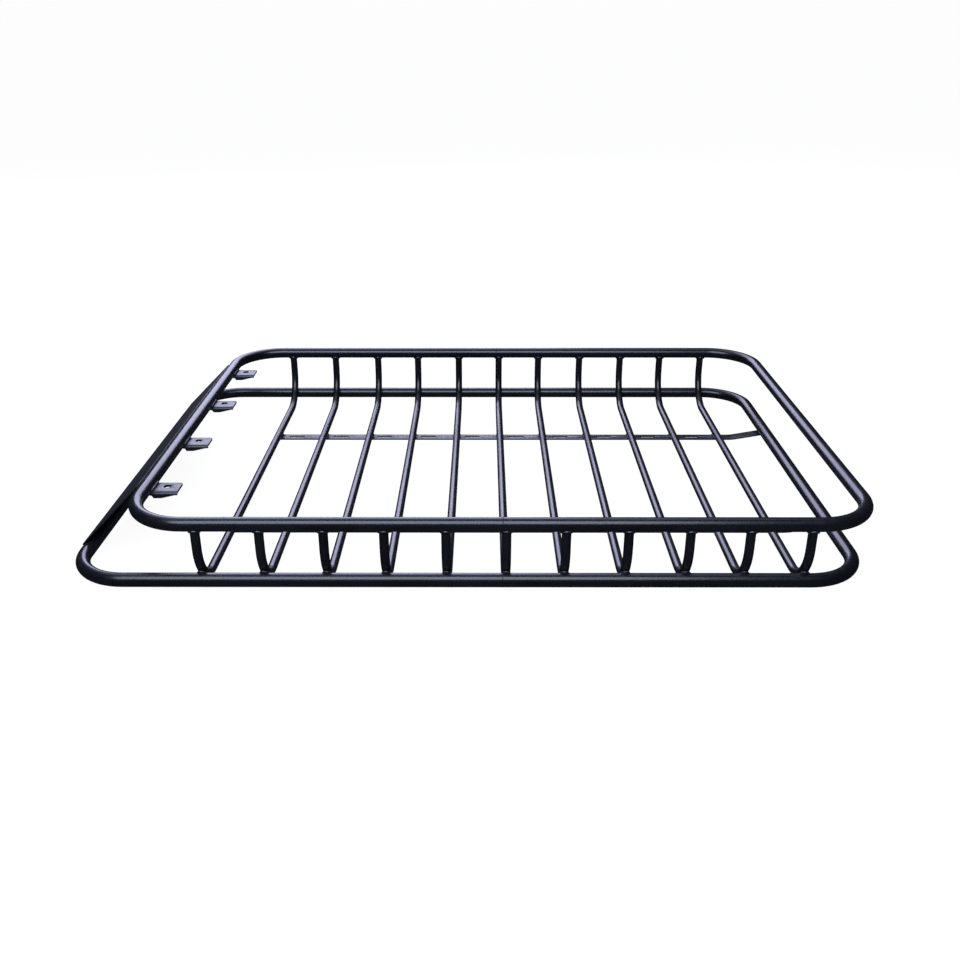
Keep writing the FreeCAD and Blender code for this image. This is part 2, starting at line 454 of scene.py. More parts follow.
class Recipe:
    """Small helper that wires a material's nodes."""

    def __init__(self, name: str) -> None:
        """Starts an empty material with a surface shader.

        Args:
            name: The material's name.
        """
        self.material = bpy.data.materials.new(name)
        self.material.use_nodes = True
        self.tree = self.material.node_tree
        self.tree.nodes.clear()
        output = self.tree.nodes.new("ShaderNodeOutputMaterial")
        self.shader = self.tree.nodes.new("ShaderNodeBsdfPrincipled")
        self.link(self.shader.outputs["BSDF"], output.inputs["Surface"])
        self.place = self.tree.nodes.new("ShaderNodeTexCoord").outputs["Object"]

    def link(self, source: Socket, target: Socket) -> None:
        """Joins two sockets."""
        self.tree.links.new(source, target)

    def drive(self, name: str, source: Socket) -> None:
        """Joins a socket to one of the shader's, by its name."""
        self.link(source, self.shader.inputs[name])

    def fix(self, **settings: Union[float, Tuple[float, ...]]) -> None:
        """Sets the shader's own sockets, named with underscores for spaces."""
        for name, value in settings.items():
            self.shader.inputs[name.replace("_", " ")].default_value = value

    def noise(self, pattern: Pattern) -> Socket:
        """Adds a noise pattern.

        Args:
            pattern: Its scale and character.

        Returns:
            The pattern's value socket.
        """
        node = self.tree.nodes.new("ShaderNodeTexNoise")
        node.inputs["Scale"].default_value = pattern.per_metre
        node.inputs["Detail"].default_value = pattern.octaves
        node.inputs["Roughness"].default_value = pattern.fineness
        node.inputs["Distortion"].default_value = pattern.swirl
        self.link(self.place, node.inputs["Vector"])
        return node.outputs["Fac"]

    def span(self, value: Socket, source: Range, result: Range, smooth: bool = False) -> Socket:
        """Maps a value from one range to another, held at the ends.

        Args:
            value: The socket to map.
            source: The range it comes from.
            result: The range it goes to.
            smooth: Eases in and out.

        Returns:
            The mapped socket.
        """
        node = self.tree.nodes.new("ShaderNodeMapRange")
        node.clamp = True
        node.interpolation_type = "SMOOTHSTEP" if smooth else "LINEAR"
        for name, number in zip(("From Min", "From Max", "To Min", "To Max"), source + result):
            node.inputs[name].default_value = number
        self.link(value, node.inputs["Value"])
        return node.outputs["Result"]

    def combine(self, operation: str, first: Socket, second: Socket) -> Socket:
        """Combines two values with a math operation.

        Args:
            operation: Blender's name of the operation.
            first: First value.
            second: Second value.

        Returns:
            The result's socket.
        """
        node = self.tree.nodes.new("ShaderNodeMath")
        node.operation = operation
        self.link(first, node.inputs[0])
        self.link(second, node.inputs[1])
        return node.outputs[0]

    def blend(self, share: Socket, under: Union[Socket, Colour], over: Colour) -> Socket:
        """Lays a fixed colour over another one by a pattern.

        Args:
            share: How much of the upper colour shows.
            under: The colour beneath, fixed or patterned.
            over: The colour laid on.

        Returns:
            The colour's socket.
        """
        node = self.tree.nodes.new("ShaderNodeMix")
        node.data_type = "RGBA"
        colours = [s for s in node.inputs if s.type == "RGBA"]
        if isinstance(under, tuple):
            colours[0].default_value = (*under, 1.0)
        else:
            self.link(under, colours[0])
        colours[1].default_value = (*over, 1.0)
        self.link(share, node.inputs["Factor"])
        return [s for s in node.outputs if s.type == "RGBA"][0]

    def relief(self, height: Socket, depth: float, under: Optional[Socket] = None) -> Socket:
        """Adds surface relief.

        Args:
            height: The pattern.
            depth: Its full depth in metres.
            under: A relief it is laid over.

        Returns:
            The normal's socket.
        """
        node = self.tree.nodes.new("ShaderNodeBump")
        node.inputs["Strength"].default_value = 1.0
        node.inputs["Distance"].default_value = depth
        self.link(height, node.inputs["Height"])
        if under is not None:
            self.link(under, node.inputs["Normal"])
        return node.outputs["Normal"]


@dataclass(frozen=True)
class PowderCoat:
    """Baked powder coat: a slightly blue black with orange peel, scuffs and a little dust."""

    name: str
    tone: Colour = (0.0052, 0.0058, 0.0085)
    deep_tone: Colour = (0.0032, 0.0036, 0.0052)
    scuff_tone: Colour = (0.030, 0.031, 0.036)
    dust_tone: Colour = (0.075, 0.074, 0.080)
    roughness: float = 0.27
    roughness_spread: float = 0.025
    specular: float = 0.5
    clouds: Pattern = Pattern(7.0, 4.0)
    cloud_edge: Range = (0.35, 0.65)
    mottle: Pattern = Pattern(90.0, 5.0, 0.6)
    mottle_edge: Range = (0.3, 0.7)
    streaks: Pattern = Pattern(310.0, 6.0, 0.7, 1.4)
    streak_edge: Range = (0.60, 0.74)
    patches: Pattern = Pattern(16.0, 3.0, 0.6)
    patch_edge: Range = (0.50, 0.68)
    scuff_share: float = 0.5
    upward: Range = (0.45, 1.0)
    dust_edge: Range = (0.38, 0.66)
    dust_thin: float = 0.25
    dust_share: float = 0.10
    waves: Pattern = Pattern(55.0, 2.0)
    wave_depth: float = 0.03 * MM
    peel: Pattern = Pattern(620.0, 2.0, 0.5)
    peel_depth: float = 0.005 * MM

    def build(self) -> Material:
        """Makes the material.

        Returns:
            The finished material.
        """
        r = Recipe(self.name)
        mottled = r.noise(self.mottle)
        clouded = r.span(r.noise(self.clouds), self.cloud_edge, (0.0, 1.0), True)
        scuffs = r.combine(
            "MULTIPLY",
            r.span(r.noise(self.streaks), self.streak_edge, (0.0, self.scuff_share), True),
            r.span(r.noise(self.patches), self.patch_edge, (0.0, 1.0), True),
        )
        facing = r.tree.nodes.new("ShaderNodeSeparateXYZ")
        r.link(r.tree.nodes.new("ShaderNodeNewGeometry").outputs["Normal"], facing.inputs[0])
        settled = r.combine(
            "MULTIPLY",
            r.span(facing.outputs["Z"], self.upward, (0.0, self.dust_share), True),
            r.span(mottled, self.dust_edge, (self.dust_thin, 1.0)),
        )
        scuffed = r.blend(scuffs, r.blend(clouded, self.deep_tone, self.tone), self.scuff_tone)
        r.drive("Base Color", r.blend(settled, scuffed, self.dust_tone))
        ends = (self.roughness - self.roughness_spread, self.roughness + self.roughness_spread)
        base = r.span(mottled, self.mottle_edge, ends)
        r.drive("Roughness", r.combine("ADD", base, r.combine("MULTIPLY", scuffs, scuffs)))
        r.fix(Specular_IOR_Level=self.specular)
        wavy = r.relief(r.noise(self.waves), self.wave_depth)
        r.drive("Normal", r.relief(r.noise(self.peel), self.peel_depth, wavy))
        return r.material


@dataclass(frozen=True)
class WeldCoat:
    """Powder coat over a weld bead: glossier on the crests and dull in the valleys."""

    name: str = "weld_bead_coat"
    tone: Colour = (0.010, 0.0105, 0.014)
    crest_tone: Colour = (0.035, 0.036, 0.043)
    spots: Pattern = Pattern(260.0, 3.0)
    spot_edge: Range = (0.42, 0.62)
    grain: Pattern = Pattern(900.0, 4.0, 0.6, 0.6)
    grain_edge: Range = (0.3, 0.7)
    grain_depth: float = 0.06 * MM
    roughness: float = 0.23
    shinier: float = 0.1
    duller: float = 0.16

    def build(self) -> Material:
        """Makes the material.

        Returns:
            The finished material.
        """
        r = Recipe(self.name)
        lumps = r.noise(self.grain)
        spotted = r.span(r.noise(self.spots), self.spot_edge, (0.0, 1.0), True)
        r.drive("Base Color", r.blend(spotted, self.tone, self.crest_tone))
        ends = (self.roughness - self.shinier, self.roughness + self.duller)
        r.drive("Roughness", r.span(lumps, self.grain_edge, ends))
        r.drive("Normal", r.relief(lumps, self.grain_depth))
        return r.material


@dataclass(frozen=True)
class Finishes:
    """Every finish of the basket."""

    rails: Material
    rungs: Material
    bars: Material
    tabs: Material
    fairing: Material
    welds: Material

    @classmethod
    def mix(cls) -> "Finishes":
        """Makes all finishes.

        Returns:
            The set.
        """
        coats = (
            PowderCoat("rail_powder_coat"),
            PowderCoat("rung_powder_coat", roughness=0.29, dust_share=0.12),
            PowderCoat(
                "bar_powder_coat",
                roughness=0.34,
                roughness_spread=0.03,
                scuff_share=0.7,
                dust_share=0.16,
            ),
            PowderCoat("tab_powder_coat", roughness=0.36, roughness_spread=0.03, dust_share=0.14),
            PowderCoat(
                "fairing_powder_coat",
                roughness=0.46,
                roughness_spread=0.03,
                peel=Pattern(900.0, 2.0, 0.5),
                peel_depth=0.03 * MM,
            ),
            WeldCoat(),
        )
        return cls(*(coat.build() for coat in coats))


def hang_on_basket(piece: Piece, finish: Material, nodes: Sequence[str] = ()) -> None:
    """Coats a finished piece, seats it on the basket's body and reports it.

    Args:
        piece: The finished piece.
        finish: Its material.
        nodes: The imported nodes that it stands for.
    """
    piece.data.materials.clear()
    piece.data.materials.append(finish)
    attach(piece, BODY)
    if nodes:
        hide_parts(*nodes)
    triangles = sum(len(polygon.vertices) - 2 for polygon in piece.data.polygons)
    LOG.info("%s: %d triangles, finish %s", piece.name, triangles, finish.name)


# --- Tubes ---


@dataclass(frozen=True)
class Straight:
    """A straight stretch of a bent tube."""

    move: Vector

    def make(self) -> None:
        """Draws the tube's open end along the stretch."""
        draw_out(self.move)


@dataclass(frozen=True)
class Turn:
    """A bend of a tube about an axis."""

    centre: Vector
    axis: Vector
    angle: float
    steps: int = 16

    def make(self) -> None:
        """Turns the tube's open end about the bend's centre."""
        swing_round(self.centre, self.axis, self.angle, self.steps)


@dataclass(frozen=True)
class TubeStock:
    """Round steel tube, ready to bend."""

    radius: float
    wall: float = 0.0
    sides: int = 48
    rod_sides: int = 96

    def bent(
        self, name: str, start: Vector, facing: Triple, steps: Sequence[Union[Straight, Turn]]
    ) -> Piece:
        """Bends a tube along straights and turns.

        Args:
            name: The piece's name.
            start: Centre of its first open end.
            facing: Rotation that turns a ring lying flat to that end's plane.
            steps: Straights and turns in order.

        Returns:
            The hollow tube.
        """
        put_down_all()
        bpy.ops.mesh.primitive_circle_add(
            vertices=self.sides,
            radius=self.radius,
            fill_type="NOTHING",
            location=start,
            rotation=facing,
        )
        tube = new_blank(name)
        with on_bench(tube):
            choose_all()
            for step in steps:
                step.make()
        face_outwards(tube)
        give_wall(tube, self.wall)
        return tube

    def rod(self, centre: Vector, length: float, facing: Triple) -> Piece:
        """Makes a solid rod of the tube's outside size, to cope what is welded to it.

        Args:
            centre: Middle of the rod.
            length: Its length.
            facing: Its rotation from upright.

        Returns:
            The rod.
        """
        put_down_all()
        bpy.ops.mesh.primitive_cylinder_add(
            vertices=self.rod_sides,
            radius=self.radius,
            depth=length,
            location=centre,
            rotation=facing,
        )
        return new_blank("cope")


# --- Welds ---


@dataclass(frozen=True)
class WeldTorch:
    """Lays weld beads as rippled solid strings.

    A ripple is its valley's depth as a share of its crest's height, its wobble, and the
    wobble's turn from one ripple to the next.
    """

    sides: int = 8
    crest: float = 0.16
    ring_ripple: Triple = (0.35, 0.06, 2.3)
    string_ripple: Triple = (0.5, 0.05, 1.7)
    string_pitch: float = 1.6 * MM
    fewest_steps: int = 3
    start_size: float = 0.55
    end_size: float = 0.5
    grasp: float = 1.05
    wide_grasp: float = 1.3

    def swell(self, number: int, ripple: Triple) -> float:
        """Thickness of a bead at one of its ripples, as a share of its usual one."""
        valley, wobble, turn = ripple
        height = 1.0 if number % 2 else -valley
        return 1.0 + self.crest * height + wobble * math.sin(number * turn)

    def ring(
        self,
        name: str,
        centre: Vector,
        facing: Triple,
        radii: Range,
        stations: int = 28,
        shift: Optional[Callable[[Vector], Vector]] = None,
    ) -> Piece:
        """Lays a closed bead round a tube.

        Args:
            name: The bead's name.
            centre: Centre of the ring.
            facing: Rotation of the ring's plane from flat.
            radii: Radius of the bead's own axis, and half of its thickness.
            stations: Ripples round the ring.
            shift: How far each station moves, from its place.

        Returns:
            The bead.
        """
        ring_radius, bead_radius = radii
        put_down_all()
        bpy.ops.mesh.primitive_torus_add(
            major_segments=stations,
            minor_segments=self.sides,
            major_radius=ring_radius,
            minor_radius=bead_radius,
            location=centre,
            rotation=facing,
        )
        bead = new_blank(name)
        turn = Euler(facing).to_matrix()
        places = [
            centre + turn @ Vector((math.cos(a) * ring_radius, math.sin(a) * ring_radius, 0.0))
            for a in (2.0 * math.pi * k / stations for k in range(stations))
        ]
        reach = bead_radius * self.grasp
        with on_bench(bead):
            for number, place in enumerate(places):
                choose_points(bead, lambda co, p=place: (co - p).length < reach)
                swell_selection(self.swell(number, self.ring_ripple), place)
            for place in places if shift else ():
                move = shift(place)
                if move.length > FINEST:
                    wide = reach * self.wide_grasp
                    choose_points(bead, lambda co, p=place: (co - p).length < wide)
                    shift_selection(move)
        return bead

    def string(self, name: str, middle: Vector, reach: Vector, bead_radius: float) -> Piece:
        """Lays a straight bead.

        Args:
            name: The bead's name.
            middle: Its middle.
            reach: From its middle to its last end.
            bead_radius: Half of its thickness.

        Returns:
            The bead.
        """
        start = middle - reach
        along = middle + reach - start
        count = max(self.fewest_steps, int(round(along.length / (self.string_pitch / 2.0))))
        put_down_all()
        bpy.ops.mesh.primitive_circle_add(
            vertices=self.sides,
            radius=bead_radius * self.start_size,
            fill_type="NGON",
            location=start,
            rotation=tuple(along.to_track_quat("Z", "Y").to_euler()),
        )
        bead = new_blank(name)
        size = self.start_size
        with on_bench(bead):
            choose_all()
            for number in range(1, count + 1):
                draw_out(along / count)
                last = number == count
                wanted = self.end_size if last else self.swell(number, self.string_ripple)
                swell_selection(wanted / size, start + along * (number / count))
                size = wanted
        face_outwards(bead)
        return bead


def gather_welds(beads: Sequence[Piece], name: str) -> Piece:
    """Joins beads into one piece and smooths it.

    Args:
        beads: The beads.
        name: The piece's name.

    Returns:
        The welds.
    """
    welds = join_up(beads, name)
    smooth_over(welds, BEAD_CRISP)
    return welds


# --- Sub-assemblies ---


@dataclass
class SubAssembly:
    """What every sub-assembly knows: where things are, and the finishes."""

    layout: Layout
    finishes: Finishes


@dataclass
class RailLoops(SubAssembly):
    """The upper and lower rail loops, each of two U-shaped tubes butted on the sides."""

    wall: float = 1.5 * MM
    sides: int = 56
    seam_bead: float = 1.1 * MM
    seam_rise: float = 0.35 * MM
    seam_ripple: float = 0.05
    seam_stations: int = 40

    def half(self, name: str, loop: Loop, way: Direction) -> Piece:
        """Bends one half of a loop.

        Args:
            name: The piece's name.
            loop: The loop's sizes.
            way: Which half.

        Returns:
            The tube.
        """
        lay = self.layout
        end_x = loop.front_x if way is Direction.FRONT else loop.rear_x
        turn_x = end_x - way.value * loop.corner_radius
        turn_y = lay.half_width - loop.corner_radius
        angle = way.value * QUARTER_TURN
        steps = [
            Straight(Vector((turn_x - lay.seam_x, 0.0, 0.0))),
            Turn(Vector((turn_x, -turn_y, loop.z)), Z_AXIS, angle),
            Straight(Vector((0.0, 2.0 * turn_y, 0.0))),
            Turn(Vector((turn_x, turn_y, loop.z)), Z_AXIS, angle),
            Straight(Vector((lay.seam_x - turn_x, 0.0, 0.0))),
        ]
        start = Vector((lay.seam_x, -lay.half_width, loop.z))
        tube = TubeStock(lay.rail_r, self.wall, self.sides).bent(name, start, ALONG_X, steps)
        smooth_over(tube)
        return tube

    def seams(self) -> Piece:
        """Lays the dressed weld rings at the four butt seams.

        Returns:
            The joined rings.
        """
        lay = self.layout
        places = [
            Vector((lay.seam_x, side.value * lay.half_width, loop.z))
            for side in Side
            for loop in (lay.upper, lay.lower)
        ]
        radii = (lay.rail_r + self.seam_rise - self.seam_bead, self.seam_bead)
        torch = WeldTorch(crest=self.seam_ripple)
        ring = torch.ring("seam", places[0], ALONG_X, radii, self.seam_stations)
        rings = spread(ring, [place - places[0] for place in places])
        return gather_welds(rings, "rail_seam_welds")

    def build(self) -> None:
        """Makes the rails and their seams."""
        coat = self.finishes.rails
        for name, loop in (("upper_rail", self.layout.upper), ("lower_rail", self.layout.lower)):
            for way in Direction:
                node = "%s_%s" % (name, way.name.lower())
                tube = self.half(node + "_tube", loop, way)
                hang_on_basket(tube, coat, [node])
        hang_on_basket(self.seams(), coat)


@dataclass
class CrossRungs(SubAssembly):
    """The U-shaped rungs, their coped ends and the beads that hold them."""

    wall: float = 1.2 * MM
    sides: int = 40
    bend_steps: int = 14
    cope_length: float = 60.0 * MM
    top_bead: float = 2.0 * MM
    top_ring_rise: float = 0.7 * MM
    top_sink: float = 0.6 * MM
    top_limit: float = 0.98
    foot_ring: float = 5.6 * MM
    foot_bead: float = 1.9 * MM
    foot_stations: int = 20

    def pattern(self) -> Piece:
        """Bends and copes the first rung.

        Returns:
            The tube.
        """
        lay = self.layout
        x = lay.rung_xs[0]
        turn_y = lay.half_width - lay.rung_bend_radius
        low_z = lay.bend_centre_z
        drop = Vector((0.0, 0.0, lay.upper.z - low_z))
        steps = [
            Straight(-drop),
            Turn(Vector((x, -turn_y, low_z)), X_AXIS, QUARTER_TURN, self.bend_steps),
            Straight(Vector((0.0, 2.0 * turn_y, 0.0))),
            Turn(Vector((x, turn_y, low_z)), X_AXIS, QUARTER_TURN, self.bend_steps),
            Straight(drop),
        ]
        stock = TubeStock(lay.rung_r, self.wall, self.sides)
        start = Vector((x, -lay.half_width, lay.upper.z))
        rung = stock.bent("rung_pattern", start, FLAT, steps)
        for side in Side:
            place = Vector((x, side.value * lay.half_width, lay.upper.z))
            cut_away(rung, TubeStock(lay.rail_r).rod(place, self.cope_length, ALONG_X))
        smooth_over(rung)
        return rung

    def top_beads(self) -> Piece:
        """Lays the saddle-shaped beads where the rungs meet the upper rail.

        Returns:
            The joined beads.
        """
        lay = self.layout
        reach = lay.rail_r
        start = Vector((lay.rung_xs[0], -lay.half_width, lay.upper.z - reach))
        radii = (lay.rung_r + self.top_ring_rise, self.top_bead)

        def saddle(point: Vector) -> Vector:
            """Lifts a station onto the rail's round underside."""
            off = min(abs(point.y - start.y), reach * self.top_limit)
            rise = reach - math.sqrt(reach * reach - off * off) - self.top_sink
            return Vector((0.0, 0.0, rise))

        first = WeldTorch().ring("top_bead", start, FLAT, radii, shift=saddle)
        moves = [
            Vector((x - start.x, side.value * lay.half_width - start.y, 0.0))
            for side in Side
            for x in lay.rung_xs
        ]
        return gather_welds(spread(first, moves), "rung_top_welds")

    def foot_beads(self, side: Side) -> List[Piece]:
        """Lays the beads between the rungs' bends and the lower rail, on one side.

        Args:
            side: Which side rail.

        Returns:
            The beads.
        """
        lay = self.layout
        tilt = math.atan2(lay.rung_bend_radius, lay.bend_centre_z - lay.lower.z)
        away = Vector((0.0, -side.value * math.sin(tilt), math.cos(tilt)))
        axis = Vector((lay.rung_xs[0], side.value * lay.half_width, lay.lower.z))
        facing = (side.value * tilt, 0.0, 0.0)
        radii = (self.foot_ring, self.foot_bead)
        start = axis + away * lay.rail_r
        first = WeldTorch().ring("foot_bead", start, facing, radii, self.foot_stations)
        return spread(first, lay.rung_moves)

    def build(self) -> None:
        """Makes the rungs and their welds."""
        first = self.pattern()
        for number, move in enumerate(self.layout.rung_moves, start=1):
            rung = copy_to(first, "rung_tube_%02d" % number, move)
            hang_on_basket(rung, self.finishes.rungs, ["cross_rung_%02d" % number])
        bpy.data.objects.remove(first, do_unlink=True)
        hang_on_basket(self.top_beads(), self.finishes.welds)
        feet = self.foot_beads(Side.NEAR) + self.foot_beads(Side.FAR)
        hang_on_basket(gather_welds(feet, "rung_foot_welds"), self.finishes.welds)


@dataclass
class MountBars(SubAssembly):
    """The two slotted bars under the rungs, with their rear upturns."""

    thickness: float = 3.0 * MM
    bend_radius: float = 100.0 * MM
    bend_steps: int = 8
    flat_past_rung: float = 23.8 * MM
    tail: float = 5.0 * MM
    slot_length: float = 33.0 * MM
    slot_width: float = 7.5 * MM
    slot_sides: int = 28
    slot_pitch: float = 95.9 * MM
    slot_count: int = 10
    first_slot_from_rung: float = 38.2 * MM
    bead: float = 1.9 * MM
    bead_inset: float = 1.5 * MM
    bead_lift: float = 0.55
    bead_off: float = 0.74
    rail_bead: float = 1.5 * MM
    rail_bead_off: float = 0.42
    rail_bead_lift: float = 0.9
    edge: float = 0.5 * MM
    crisp: float = 30.0
    start_x: float = field(init=False)
    width: float = field(init=False)
    side_offset: float = field(init=False)
    flat_end_x: float = field(init=False)
    rise: float = field(init=False)
    along: Vector = field(init=False)
    normal: Vector = field(init=False)

    def __post_init__(self) -> None:
        """Reads the near bar's box and works out the upturn, which touches the rear rail."""
        lay = self.layout
        low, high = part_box("mount_bar_near")
        self.start_x = low.x
        self.width = high.y - low.y
        self.side_offset = -(high.y + low.y) / 2.0
        self.flat_end_x = lay.rung_xs[-1] + self.flat_past_rung
        across = lay.lower.rear_x - self.flat_end_x
        up = lay.lower.z - (self.thickness + self.bend_radius)
        apart = self.bend_radius - (lay.rail_r + WELD_GAP)
        self.rise = math.atan2(up, across) + math.asin(apart / math.hypot(across, up))
        self.along = Vector((math.cos(self.rise), 0.0, math.sin(self.rise)))
        self.normal = Vector((-math.sin(self.rise), 0.0, math.cos(self.rise)))

    def touch(self, y: float) -> Vector:
        """Where a bar's top face touches the rear rail, on its centre line."""
        lower = self.layout.lower
        return Vector((lower.rear_x, y, lower.z)) - self.normal * (self.layout.rail_r + WELD_GAP)

    def slot_tool(self, x: float, y: float) -> Piece:
        """Makes the cutter of one round-ended slot.

        Args:
            x: The slot's middle along the bar.
            y: The bar's centre line.

        Returns:
            The cutter.
        """
        half = self.slot_width / 2.0
        put_down_all()
        bpy.ops.mesh.primitive_cylinder_add(
            vertices=self.slot_sides,
            radius=half,
            depth=self.thickness * TOOL_DEPTH,
            location=(x, y, self.thickness / 2.0),
            rotation=(0.0, 0.0, math.pi / self.slot_sides),
        )
        tool = new_blank("slot_tool")
        run = (self.slot_length - self.slot_width) / 2.0
        with on_bench(tool):
            for way in BOTH_WAYS:
                choose_points(tool, lambda co, w=way: 0.0 < (co.x - x) * w <= half + SAME_PLACE)
                shift_selection((way * run, 0.0, 0.0))
        return tool

    def bar(self, name: str, y: float) -> Piece:
        """Makes one bar: pressed flat strip, upturned end, punched slots.

        Args:
            name: The piece's name.
            y: Its centre line.

        Returns:
            The bar.
        """
        centre = Vector((self.flat_end_x, y, self.thickness + self.bend_radius))
        bend_end = centre - self.normal * self.bend_radius
        slope = (self.touch(y) - bend_end).dot(self.along) + self.tail
        start = (self.start_x, y, self.thickness / 2.0)
        strip = lay_plate(name, start, (self.thickness, self.width), ALONG_X)
        with on_bench(strip, "FACE"):
            choose_all()
            draw_out((self.flat_end_x - self.start_x, 0.0, 0.0))
            swing_round(centre, Y_AXIS, -self.rise, self.bend_steps)
            draw_out(self.along * slope)
        face_outwards(strip)
        tool = self.slot_tool(self.layout.rung_xs[0] + self.first_slot_from_rung, y)
        moves = [Vector((k * self.slot_pitch, 0.0, 0.0)) for k in range(self.slot_count)]
        cut_away(strip, join_up(spread(tool, moves), "slot_tools"))
        break_edges(strip, self.edge)
        smooth_over(strip, self.crisp)
        return strip

    def beads(self, side: Side) -> List[Piece]:
        """Lays the fillet beads across one bar, before and behind each rung and the rear rail.

        Args:
            side: Which bar.

        Returns:
            The beads.
        """
        lay = self.layout
        y = side.value * self.side_offset
        reach = Y_AXIS * (self.width / 2.0 - self.bead_inset)
        off = lay.rung_r * self.bead_off
        top = self.thickness + self.bead * self.bead_lift
        torch = WeldTorch()
        pair = [
            torch.string("bar_bead", Vector((lay.rung_xs[0] + way * off, y, top)), reach, self.bead)
            for way in BOTH_WAYS
        ]
        beads = spread(join_up(pair, "bar_bead"), lay.rung_moves)
        for way in BOTH_WAYS:
            aside = self.along * (way * lay.rail_r * self.rail_bead_off)
            place = self.touch(y) + aside + self.normal * self.rail_bead_lift * MM
            beads.append(torch.string("bar_bead", place, reach, self.rail_bead))
        return beads

    def build(self) -> None:
        """Makes both bars and their welds."""
        beads: List[Piece] = []
        for side in Side:
            node = "mount_bar_%s" % side.name.lower()
            strip = self.bar(node + "_strip", side.value * self.side_offset)
            hang_on_basket(strip, self.finishes.bars, [node])
            beads += self.beads(side)
        hang_on_basket(gather_welds(beads, "bar_welds"), self.finishes.welds)


@dataclass
class LightTabs(SubAssembly):
    """The folded tabs behind the upper front rail, each with a hole for a light."""

    reach: float = 42.5 * MM
    width: float = 39.0 * MM
    thickness: float = 4.0 * MM
    drop: float = 4.6 * MM
    hole_radius: float = 6.0 * MM
    hole_sides: int = 40
    hole_reach: float = 20.5 * MM
    hole_offset: float = 4.5 * MM
    corner_radius: float = 3.0 * MM
    corner_steps: int = 5
    flange_depth: float = 11.0 * MM
    flange_root: float = 6.0 * MM
    flange_start: float = 3.0 * MM
    flange_flat: float = 12.4 * MM
    flange_tip: float = 4.0 * MM
    fold_radius: float = 5.5 * MM
    fold_steps: int = 6
    cope_widths: float = 3.0
    bead: float = 2.3 * MM
    bead_inset: float = 1.0 * MM
    bead_off: float = 0.25
    top_bead_lift: float = 0.55
    under_bead_lift: float = -0.35
    edge: float = 0.45 * MM

    @property
    def top_z(self) -> float:
        """Height of a tab's top face."""
        return self.layout.upper.z - self.drop + self.thickness / 2.0

    @property
    def root_x(self) -> float:
        """Where the plate starts, inside the rail."""
        return self.layout.upper.front_x

    @property
    def surface_x(self) -> float:
        """The rail's rearmost line."""
        return self.root_x + self.layout.rail_r

    @property
    def tip_x(self) -> float:
        """Where the plate ends."""
        return self.surface_x + self.reach

    def folded_sheet(self, y: float) -> Piece:
        """Folds the tab's outer skin: plate, bend and flange.

        Args:
            y: The tab's middle.

        Returns:
            The open sheet.
        """
        start = y - self.width / 2.0 + self.fold_radius
        end = y + self.width / 2.0
        middle = ((self.root_x + self.tip_x) / 2.0, (start + end) / 2.0, self.top_z)
        sheet = lay_plate("tab_pattern", middle, (self.tip_x - self.root_x, end - start))
        with on_bench(sheet, "EDGE"):
            choose_points(sheet, lambda co: co.y < start + SAME_PLACE)
            centre = Vector((self.root_x, start, self.top_z - self.fold_radius))
            swing_round(centre, X_AXIS, QUARTER_TURN, self.fold_steps)
            draw_out((0.0, 0.0, self.fold_radius - self.flange_root))
        return sheet

    def shape_flange(self, sheet: Piece, y: float) -> None:
        """Draws the flange's lower edge down to its tapered outline.

        Args:
            sheet: The folded sheet.
            y: The tab's middle.
        """
        fold_z = self.top_z - self.fold_radius
        root_z = self.top_z - self.flange_root
        deep_x = self.surface_x + self.flange_start
        taper_x = deep_x + self.flange_flat
        end_x = self.tip_x - self.flange_tip
        with on_bench(sheet, "FACE"):
            for x in (self.surface_x, deep_x, taper_x, end_x):
                choose_points(sheet, lambda co: co.z < fold_z + TINY)
                bpy.ops.mesh.bisect(plane_co=(x, y, root_z), plane_no=X_AXIS)
        with on_bench(sheet):
            choose_points(
                sheet, lambda co: co.z < root_z + TINY and deep_x - TINY < co.x < taper_x + TINY
            )
            shift_selection((0.0, 0.0, self.flange_root - self.flange_depth))
            choose_points(sheet, lambda co: co.z < fold_z - TINY and co.x > end_x - TINY)
            shift_selection((0.0, 0.0, self.flange_root - self.fold_radius))

    def pattern(self, y: float) -> Piece:
        """Makes the first tab.

        Args:
            y: Its middle.

        Returns:
            The finished tab.
        """
        sheet = self.folded_sheet(y)
        self.shape_flange(sheet, y)
        corner = Vector((self.tip_x, y + self.width / 2.0, self.top_z))
        with on_bench(sheet):
            choose_all()
            bpy.ops.mesh.remove_doubles(threshold=SAME_PLACE)
            choose_points(sheet, lambda co: (co - corner).length < SAME_PLACE)
            round_corners(sheet, self.corner_radius, self.corner_steps, Z_AXIS)
        give_wall(sheet, self.thickness)
        place = Vector((self.root_x, y, self.layout.upper.z))
        cope = TubeStock(self.layout.rail_r).rod(place, self.width * self.cope_widths, ALONG_Y)
        cut_away(sheet, cope)
        put_down_all()
        bpy.ops.mesh.primitive_cylinder_add(
            vertices=self.hole_sides,
            radius=self.hole_radius,
            depth=self.thickness * TOOL_DEPTH,
            location=(self.surface_x + self.hole_reach, y + self.hole_offset, self.top_z),
        )
        cut_away(sheet, new_blank("tab_hole_tool"))
        break_edges(sheet, self.edge)
        smooth_over(sheet)
        return sheet

    def root_bead(self, y: float) -> Piece:
        """Lays the beads over and under a tab's root.

        Args:
            y: The tab's middle.

        Returns:
            The joined beads.
        """
        beads = []
        under_z = self.top_z - self.thickness
        reach = Y_AXIS * (self.width / 2.0 - self.bead_inset)
        for height, lift in ((self.top_z, self.top_bead_lift), (under_z, self.under_bead_lift)):
            off = math.sqrt(self.layout.rail_r ** 2 - (height - self.layout.upper.z) ** 2)
            x = self.root_x + off + self.bead * self.bead_off
            middle = Vector((x, y, height + lift * self.bead))
            beads.append(WeldTorch().string("tab_bead", middle, reach, self.bead))
        return join_up(beads, "tab_bead")

